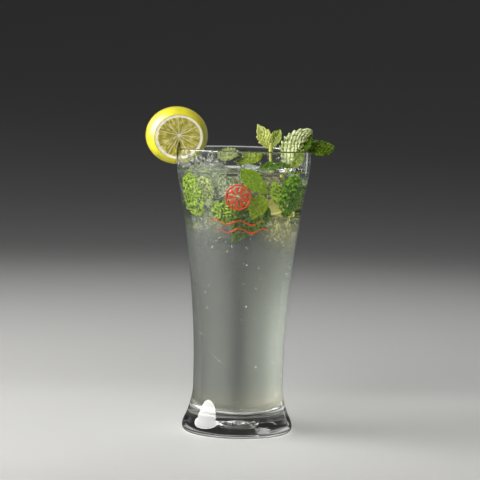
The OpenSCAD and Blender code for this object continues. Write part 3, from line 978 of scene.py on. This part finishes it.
class MOJITO_OT_cloud(Operator):
    """The cloud of lime juice in the drink, as veils one inside another"""

    bl_idname = "mojito.cloud"
    bl_label = "Cloud"

    def execute(self, context):
        glass, drink = scene_settings(context)[:2]
        for k, (share, thin, thick) in enumerate(VEILS):
            profile = cavity_profile(glass, drink.level - 0.0012 - 0.0003 * k, 0.0, 60)
            profile[:, 0] *= share
            profile[:, 1] = np.maximum(profile[:, 1], glass.base + 0.0006 + 0.002 * k)
            top = np.array([[0.0, profile[0, 1]]])
            points, quads = revolve(np.concatenate([top, profile]), 96)
            name = f"drink_cloud_{k + 1}"
            mesh = make_mesh(name, points, quads)
            add_piece(name, mesh, [cloud_material(drink, name, thin, thick)])
        return {"FINISHED"}


def worn_cube(middle, half, turn, seed):
    """A cube with round corners, worn by slow and quick waves: each sine and cosine of a sphere's two
    angles is raised to a small power, which pushes the sphere out to a cube."""
    a = np.linspace(-np.pi / 2, np.pi / 2, 49)[:, None]
    b = np.linspace(0, 2 * np.pi, 96, endpoint=False)[None, :]
    ca, sa, cb, sb = (np.sign(f) * np.abs(f) ** 0.3 for f in (np.cos(a), np.sin(a), np.cos(b), np.sin(b)))
    shape = np.stack(np.broadcast_arrays(ca * cb, ca * sb, sa), -1)
    worn = 1 + 0.035 * waves(shape, 2.6, seed) + 0.012 * waves(shape, 9.0, seed + 40)
    points = (shape * worn[..., None] * half) @ turn_matrix(*turn).T + np.array(middle)
    return points, grid_faces(49, 96, wrap_cols=True)


class MOJITO_OT_ice(Operator):
    """Ice: two cubes that stand out of the drink and three sunk ones"""

    bl_idname = "mojito.ice"
    bl_label = "Ice"

    def execute(self, context):
        material = ice_material()
        cubes = []
        for node in ("ice_left", "ice_back"):
            low, high = (np.array(c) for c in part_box(node))
            cubes.append((node, (low + high) / 2, ICE_HALF))
        for k, ((name, middle, half), turn) in enumerate(zip(cubes + list(SUNK_ICE), ICE_TURNS)):
            mesh = make_mesh(name + "_cube", *worn_cube(middle, half, turn, SEED + k))
            add_piece(name + "_cube", mesh, [material], [name] if k < len(cubes) else ())
        return {"FINISHED"}


class MOJITO_OT_lime_slice(Operator):
    """The thick slice of lime on the lip, slit to hold the glass"""

    bl_idname = "mojito.lime_slice"
    bl_label = "Lime slice"

    def execute(self, context):
        glass, _, lime = scene_settings(context)[:3]
        lip_middle = glass.lip - glass.lip_wall / 2
        centre = np.array([-lip_middle - 0.0008, 0.0, glass.height + lime.up])
        tip, yaw = 4.2, 8.4
        matrix = turn_matrix(tip, 0, yaw)
        stretch = lime.wide / lime.radius
        core_up = 0.0013
        back = lime.front - lime.thickness

        def place(x, along, z):
            """From the fruit's frame to the frame of the object."""
            deep = -(along + lime.thickness / 2 - lime.front)
            return np.stack(np.broadcast_arrays(stretch * x, deep, z), -1) @ matrix.T + centre

        def gap(out, along, side):
            """Angle from straight down at which the slit's wall lies: the slit follows the lip's curve."""
            out, along = np.broadcast_arrays(np.asarray(out, float), np.asarray(along, float))
            deep = -(along + lime.thickness / 2 - lime.front)
            middle = (-np.sqrt(lip_middle ** 2 - deep ** 2) - centre[0]
                      + deep * math.sin(math.radians(yaw))) / (stretch * math.cos(math.radians(yaw)))
            wide = SLIT_WIDTH * np.clip((out - 0.2) / 0.33, 0, 1) ** 0.8
            peel = lime.radius * np.sqrt(1 - (along / (lime.radius * 1.04)) ** 2)
            away = middle * np.clip(out / 0.25, 0, 1) + side * wide / 2
            return np.arcsin(np.clip(away / (np.maximum(out, 0.02) * peel), -1, 1))

        mesh = lime_mesh("lime_slice_cut", lime, place, lime.front, back,
                         lambda out, along: gap(out, along, 1),
                         lambda out, along: 2 * np.pi + gap(out, along, -1), core_up, SEED + 3)
        add_piece("lime_slice_cut", mesh, [flesh_material(), peel_material()], ["lime_slice"])
        return {"FINISHED"}


class MOJITO_OT_sunk_lime(Operator):
    """Pieces of lime sunk in the drink"""

    bl_idname = "mojito.sunk_lime"
    bl_label = "Sunk lime"

    def execute(self, context):
        lime = scene_settings(context)[2]
        flesh = flesh_material("sunk_lime_flesh", 0.7, (0.80, 0.74, 0.34), (0.76, 0.70, 0.32),
                               (0.60, 0.55, 0.16))
        for k, (name, at, turn, first, last, thick, share) in enumerate(SUNK_LIME):
            matrix = turn_matrix(*turn)

            def place(x, along, z):
                """From the wedge's frame to the frame of the object."""
                return np.stack(np.broadcast_arrays(x, -along, z), -1) @ matrix.T * share + np.array(at)

            mesh = lime_mesh(name, lime, place, thick / 2, -thick / 2,
                             lambda out, along: math.radians(first) + 0 * out * along,
                             lambda out, along: math.radians(last) + 0 * out * along, 0.0, SEED + 10 + k, 90)
            add_piece(name, mesh, [flesh, flesh])
        return {"FINISHED"}


class MOJITO_OT_mint(Operator):
    """Mint above the drink: a young sprig, a crown sprig that leans on the lip, and three loose leaves"""

    bl_idname = "mojito.mint"
    bl_label = "Mint"

    def execute(self, context):
        glass, drink, _, mint = scene_settings(context)[:4]
        top, level, thick = glass.height, drink.level, mint.thickness
        stem = stem_material()
        t = np.linspace(0, 1, 14)[:, None]
        young_top = np.array([0.0166, 0.004, top + 0.0015])
        young_at = young_top - np.array([0, 0, 0.002])
        crown_top = np.array([0.027, -0.002, top - 0.0105])
        over_at = crown_top + np.array([0.0112, 0.0045, 0.0136])
        young_line = young_top + np.array([0.005, 0.002, 0]) * t ** 2 + np.array([0, 0, -0.036]) * t
        young_node = young_top + np.array([0.0002, 0, -0.004]) + np.array([0.0, 0, 0.0065]) * t
        young_stems = [(young_line, mint.stem * 0.9), (young_node, mint.stem * 1.35)]
        petiole = (crown_top - np.array([0, 0, 0.0015])
                   + (over_at - crown_top + np.array([0.001, 0, 0.0015])) * t
                   + np.array([0.001, 0, -0.0006]) * np.sin(np.pi * t))
        crown_line = crown_top + np.array([-0.004, 0, 0]) * t ** 2 + np.array([0, -0.002, -0.032]) * t
        crown_stems = [(crown_line, mint.stem), (petiole, mint.stem * 0.75)]
        young, inner, crown, dark, over, bright, pale = (mint_finish("mint_" + name) for name in (
            "young", "young_inner", "crown", "dark", "over", "bright", "pale"))
        leaf_piece("mint_young", young, thick, young_at, 118, 98, nodes=["mint_sprig_young"],
                   stems=young_stems, stem=stem, length=mint.young * 1.03, width=mint.young * 0.52, fold=14,
                   bend=-10, belly=0.92, crinkle=1.0, seed=3, teeth=5, jag=0.3, tip=1.15, cross_veins=0.3)
        leaf_piece("mint_young_inner", inner, thick, young_at, 66, 60, 10, length=mint.young * 0.80,
                   width=mint.young * 0.46, fold=30, bend=-14, belly=1.15, crinkle=1.2, seed=4, teeth=5,
                   jag=0.3, tip=1.0, cross_veins=0.4)
        leaf_piece("mint_crown", crown, thick, crown_top - np.array([0, 0, 0.0016]), 63, 118,
                   nodes=["mint_sprig_crown"], stems=crown_stems, stem=stem, length=mint.crown,
                   width=mint.crown * 0.58, fold=-40, bend=12, belly=1.1, crinkle=0.75, seed=5, teeth=9,
                   tip=0.62, wave=1.4, jag=0.18, cross_veins=0.3, stray_by=0.3, side_veins=6.0, lean=0.75,
                   dark=0.42, rows=170, cols=80)
        # The crown leaf's folded lower half, as a second blade in the dark finish: painted shade of the half
        # that faces away from the light.
        leaf_piece("mint_crown_back_painted_shade", dark, thick, over_at + np.array([-0.0028, -0.0040, -0.0030]), 56, 96,
                   length=0.0115, width=0.0072, fold=22, bend=10, crinkle=0.5, seed=16, tip=0.8, jag=0.2)
        leaf_piece("mint_over_lip", over, thick, over_at, -3, 62, -4, length=mint.over,
                   width=mint.over * 0.52, fold=-32, bend=-8, belly=1.1, crinkle=1.3, seed=6, teeth=5,
                   tip=0.5, jag=0.24, stray_by=0.2)
        strip_at = crown_top + np.array([0.0034, -0.0062, -0.0004])
        leaf_piece("mint_crown_strip", bright, thick, strip_at, 62, 100,
                   length=0.0135, width=0.0056, fold=26, bend=12, crinkle=1.0, seed=15)
        leaf_piece("mint_leaf_bright_blade", bright, thick, (0.0115, 0.010, level + 0.010), 197, -40,
                   nodes=["mint_leaf_bright"], length=0.017, width=0.009,
                   fold=12, bend=10, crinkle=0.8, seed=7)
        leaf_piece("mint_leaf_dark_blade", dark, thick, (0.0095, -0.014, level + 0.0022), 0, 22,
                   nodes=["mint_leaf_dark"], length=0.019, width=0.010,
                   fold=12, bend=8, crinkle=1.2, seed=8)
        leaf_piece("mint_leaf_pale_blade", pale, thick, (-0.0165, 0.007, level + 0.008), 2, 46,
                   nodes=["mint_leaf_pale"], length=0.0150, width=0.0100,
                   fold=10, bend=14, crinkle=2.0, seed=9)
        return {"FINISHED"}


class MOJITO_OT_sunk_mint(Operator):
    """Mint sunk in the drink, near the wall"""

    bl_idname = "mojito.sunk_mint"
    bl_label = "Sunk mint"

    def execute(self, context):
        glass, _, _, mint = scene_settings(context)[:4]
        finishes = {kind: mint_finish("mint_sunk_" + kind)
                    for kind in ("green", "deep", "smooth", "mid", "olive", "frosty")}
        for name, kind, length, width, fold, bend, crinkle, seed, at, rise, roll, own in SUNK_LEAVES:
            leaf_piece("mint_sunk_" + name, finishes[kind], mint.thickness, at, rise, roll, glass=glass,
                       length=length, width=width, fold=fold, bend=bend, crinkle=crinkle, seed=seed,
                       rows=84, cols=34, **own)
        return {"FINISHED"}


def scatter_beads(places, sizes, squash=None, lean=None, sides=7, rings=5):
    """Small balls at many places: a coarse grid on a sphere, scaled, leant along X and moved there."""
    a = np.linspace(-np.pi / 2, np.pi / 2, rings)[:, None]
    b = np.linspace(0, 2 * np.pi, sides, endpoint=False)[None, :]
    ball = np.stack(np.broadcast_arrays(np.cos(a) * np.cos(b), np.cos(a) * np.sin(b), np.sin(a)), -1)
    stretch = np.ones((len(places), 3)) if squash is None else squash
    shape = ball.reshape(1, -1, 3) * (np.asarray(sizes)[:, None, None] * stretch[:, None])
    if lean is not None:
        shape[..., 0] += shape[..., 2] * lean[:, None]
    points = shape + places[:, None]
    quads = grid_faces(rings, sides, wrap_cols=True)
    shift = (np.arange(len(places)) * rings * sides)[:, None, None]
    return points.reshape(-1, 3), (quads[None] + shift).reshape(-1, 4)


def round_places(radius, angle, z):
    """Places at a radius and an angle round the Z axis."""
    return np.stack([radius * np.cos(angle), radius * np.sin(angle), z], 1)


def beads_piece(name, material, slot, places, sizes, **shape):
    """A piece of many small balls."""
    points, quads = scatter_beads(places, sizes, **shape)
    add_piece(name, make_mesh(name, points, quads, weld=1e-9), [material])


class MOJITO_OT_fizz(Operator):
    """Bubbles and pale bits near the wall, chips of ice, and beads of water above the level"""

    bl_idname = "mojito.fizz"
    bl_label = "Fizz"

    def execute(self, context):
        glass, drink = scene_settings(context)[:2]
        rng = np.random.default_rng(SEED)
        count = drink.bubbles
        z = rng.uniform(glass.base + 0.004, drink.level - 0.001, count)
        angle = rng.uniform(0, 2 * np.pi, count)
        radius = inner_radius(z, glass) - rng.uniform(0.0001, 0.0009, count)
        sizes = rng.uniform(0.00008, 0.0003, count) * rng.choice([1, 1, 1, 1.7], count)
        faint = fizz_material("faint_bubbles", (0.24, 0.25, 0.235), (0.46, 0.47, 0.44), 0.5)
        beads_piece("drink_bubbles", faint, "drink", round_places(radius, angle, z), sizes)

        bits = 30
        z = 0.1175 + rng.uniform(-0.002, 0.007, bits)
        angle = rng.uniform(0, 2 * np.pi, bits)
        radius = inner_radius(z, glass) - rng.uniform(0.0004, 0.0016, bits)
        limits = ((0.6, 1.0), (0.6, 1.0), (2.0, 6.0))
        squash = np.stack([rng.uniform(low, high, bits) for low, high in limits], 1)
        lean = rng.uniform(-1.6, 1.6, bits)
        pale = fizz_material("pale_specks", (0.55, 0.58, 0.5), (0.92, 0.93, 0.88), 0.25)
        beads_piece("lime_bits", pale, "drink", round_places(radius, angle, z),
                    rng.uniform(0.0001, 0.00024, bits), squash=squash, lean=lean)

        chips = 70
        z = rng.uniform(0.126, drink.level - 0.002, chips)
        angle = rng.uniform(0, 2 * np.pi, chips)
        radius = inner_radius(z, glass) * rng.uniform(0.45, 0.93, chips)
        squash = rng.uniform(0.35, 1.25, (chips, 3))
        beads_piece("ice_chips", ice_material(), "ice", round_places(radius, angle, z),
                    rng.uniform(0.001, 0.0026, chips), squash=squash)

        drops = 520
        z = drink.level + 0.0015 + 0.0095 * rng.uniform(0, 1, drops) ** 1.3
        angle = np.where(rng.uniform(0, 1, drops) < 0.45, rng.normal(math.radians(222), 0.3, drops),
                         rng.uniform(0, 2 * np.pi, drops))
        sizes = 0.00022 + 0.00045 * rng.uniform(0, 1, drops) ** 3
        beads_piece("glass_drops", bead_material(), "glass", round_places(inner_radius(z, glass), angle, z),
                    sizes, sides=10, rings=7)
        return {"FINISHED"}


        return {"FINISHED"}


class MOJITO_OT_stage(Operator):
    """Floor that rises to a backdrop, with a painted pool of light pale under the glass and painted shade away
    from it, soft lights and the camera
    """

    bl_idname = "mojito.stage"
    bl_label = "Stage"

    def execute(self, context):
        stage = scene_settings(context)[4]
        flat, bowl, wall = 1.1, 1.3, 2.6
        angle = np.linspace(0, np.pi / 2, 24)
        profile = np.concatenate([
            np.stack([np.linspace(0, flat, 6)[:-1], np.zeros(5)], 1),
            np.stack([flat + bowl * np.sin(angle), bowl * (1 - np.cos(angle))], 1),
            np.array([[flat + bowl, wall]])])
        points, quads = revolve(profile, 128)
        mesh = make_mesh("studio_floor", points, quads)
        mesh.flip_normals()
        floor = bpy.data.objects.new("studio_floor", mesh)
        mesh.materials.append(painted_light_floor_material())
        floor.visible_glossy = False
        context.scene.collection.objects.link(floor)

        def lamp(name, at, size, power, colour=(1, 1, 1), aim=(0, 0, 0.1), shape="ELLIPSE", spread=180,
                 shine=True, soft=True):
            """A soft box that faces a point."""
            light = bpy.data.lights.new(name, "AREA")
            light.shape = shape
            light.size, light.size_y = size
            light.energy = power
            light.color = colour
            light.spread = math.radians(spread)
            box = bpy.data.objects.new(name, light)
            box.location = at
            box.rotation_euler = (Vector(at) - Vector(aim)).to_track_quat("Z", "Y").to_euler()
            box.visible_camera = False
            box.visible_glossy = shine
            box.visible_diffuse = soft
            box.visible_transmission = soft
            context.scene.collection.objects.link(box)

        lamp("softbox_key", (-0.90, -0.16, 0.66), (1.2, 1.2), 16.0, (1.0, 0.985, 0.95))
        lamp("softbox_gleam", (-0.905, -0.161, 0.662), (1.2, 1.2), 38.0, soft=False)
        lamp("softbox_front", (-0.62, -1.05, 0.62), (0.6, 0.6), 9.0, (1.0, 0.99, 0.97), (0, 0, 0.15),
             shine=False)
        lamp("softbox_low", (0.86, 0.0, 0.055), (0.3, 0.10), 1.0, (1.0, 0.98, 0.94), (0, 0, 0.05),
             "RECTANGLE", 9, shine=False)
        lamp("softbox_edge", (0.70, 0.80, 0.25), (0.14, 0.50), 0.25, aim=(0, 0, 0.11), shape="RECTANGLE",
             soft=False)
        lamp("softbox_back", (0.25, 1.0, 0.9), (1.2, 0.7), 4.5, aim=(0, 0, 0.12), shine=False)
        lamp("softbox_top", (0.1, -0.2, 1.3), (1.2, 1.2), 3.0, shine=False)
        world = bpy.data.worlds.new("studio_air")
        world.use_nodes = True
        world.node_tree.nodes["Background"].inputs[0].default_value = (0.75, 0.77, 0.8, 1)
        world.node_tree.nodes["Background"].inputs[1].default_value = 0.12
        context.scene.world = world

        camera = bpy.data.objects.new("camera", bpy.data.cameras.new("camera"))
        camera.data.lens = stage.lens
        camera.data.sensor_width = 36.0
        camera.data.clip_end = 20.0
        look = Matrix.Rotation(math.pi / 2 - stage.pitch, 4, "X") @ Matrix.Rotation(stage.roll, 4, "Z")
        camera.matrix_world = Matrix.Translation((-0.001, -stage.distance, stage.height)) @ look
        context.scene.collection.objects.link(camera)
        context.scene.camera = camera
        cycles = context.scene.cycles
        cycles.max_bounces = 24
        cycles.transmission_bounces = 20
        cycles.transparent_max_bounces = 40
        cycles.diffuse_bounces = 4
        context.scene.view_settings.view_transform = "Standard"
        return {"FINISHED"}


class MOJITO_PT_panel(Panel):
    """Sidebar panel that lists the pieces"""

    bl_label = "Mojito"
    bl_idname = "MOJITO_PT_panel"
    bl_space_type = "VIEW_3D"
    bl_region_type = "UI"
    bl_category = "Mojito"

    def draw(self, context):
        for operator in OPERATORS:
            self.layout.operator(operator.bl_idname)


OPERATORS = (MOJITO_OT_glass, MOJITO_OT_print, MOJITO_OT_drink, MOJITO_OT_cloud, MOJITO_OT_ice,
             MOJITO_OT_lime_slice, MOJITO_OT_sunk_lime, MOJITO_OT_mint, MOJITO_OT_sunk_mint,
             MOJITO_OT_fizz, MOJITO_OT_stage)
GROUPS = {"mojito_glass": GlassSettings, "mojito_drink": DrinkSettings, "mojito_lime": LimeSettings,
          "mojito_mint": MintSettings, "mojito_stage": StageSettings}


def register():
    for group in GROUPS.values():
        bpy.utils.register_class(group)
    for name, group in GROUPS.items():
        setattr(bpy.types.Scene, name, PointerProperty(type=group))
    for item in OPERATORS + (MOJITO_PT_panel,):
        bpy.utils.register_class(item)


def unregister():
    for item in reversed(OPERATORS + (MOJITO_PT_panel,)):
        bpy.utils.unregister_class(item)
    for name, group in GROUPS.items():
        delattr(bpy.types.Scene, name)
        bpy.utils.unregister_class(group)


def main():
    """Makes every piece in order."""
    register()
    for operator in OPERATORS:
        group, name = operator.bl_idname.split(".")
        getattr(getattr(bpy.ops, group), name)()


if __name__ == "__main__":
    main()
